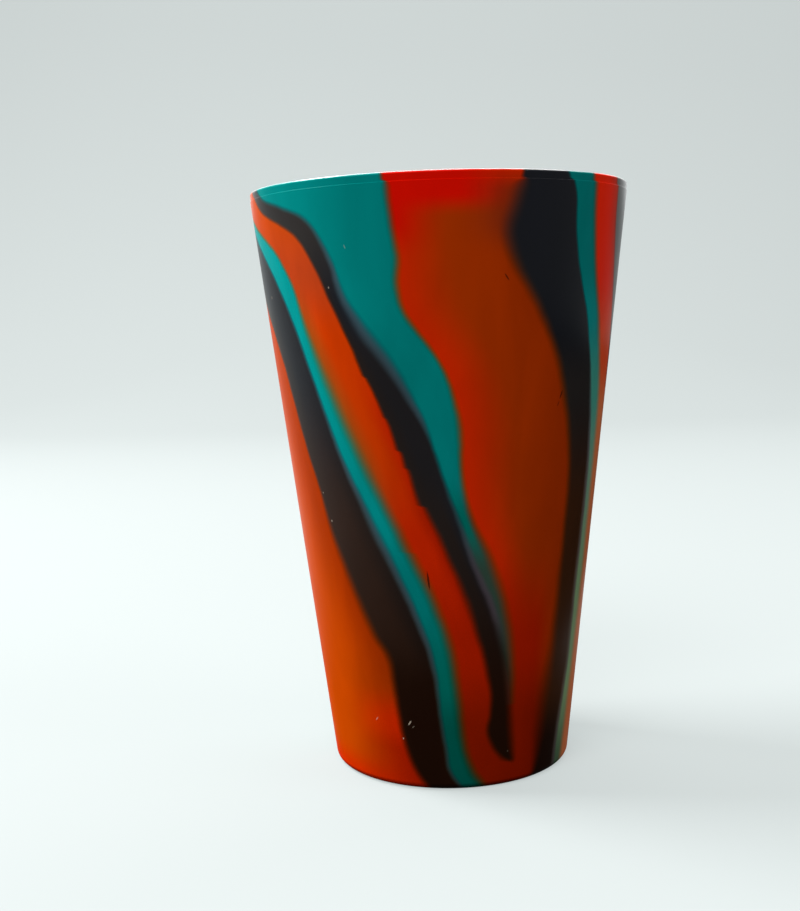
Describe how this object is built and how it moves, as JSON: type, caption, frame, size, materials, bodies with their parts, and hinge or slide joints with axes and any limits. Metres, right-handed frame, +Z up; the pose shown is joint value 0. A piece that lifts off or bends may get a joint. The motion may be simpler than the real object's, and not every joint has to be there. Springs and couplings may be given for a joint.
{
  "type": "silicone cup",
  "caption": "Tapered silicone drinking cup with a rounded lip, thick soft wall and foot ring, moulded in flowing streaks of teal, orange and black.",
  "frame": {"origin": "centre of the foot, on the table", "axes": "+Z up the cup's axis to the lip; -Y is the side seen in the picture, +X to its right"},
  "size_m": [0.0906, 0.0905, 0.14],
  "materials": {
    "orange_silicone": "satin",
    "black_silicone": "satin",
    "teal_silicone": "satin"
  },
  "bodies": {
    "root": {"orange_panel_left": "orange_silicone", "black_band_left": "black_silicone", "teal_band_left": "teal_silicone", "orange_band_centre": "orange_silicone", "black_tongue_centre": "black_silicone", "teal_panel_front": "teal_silicone", "orange_panel_front": "orange_silicone", "black_band_right": "black_silicone", "teal_band_right": "teal_silicone", "orange_band_right": "orange_silicone", "black_band_back_right": "black_silicone", "teal_band_back": "teal_silicone", "orange_panel_back": "orange_silicone", "black_band_back": "black_silicone", "teal_panel_back": "teal_silicone"}
  },
  "joints": []
}
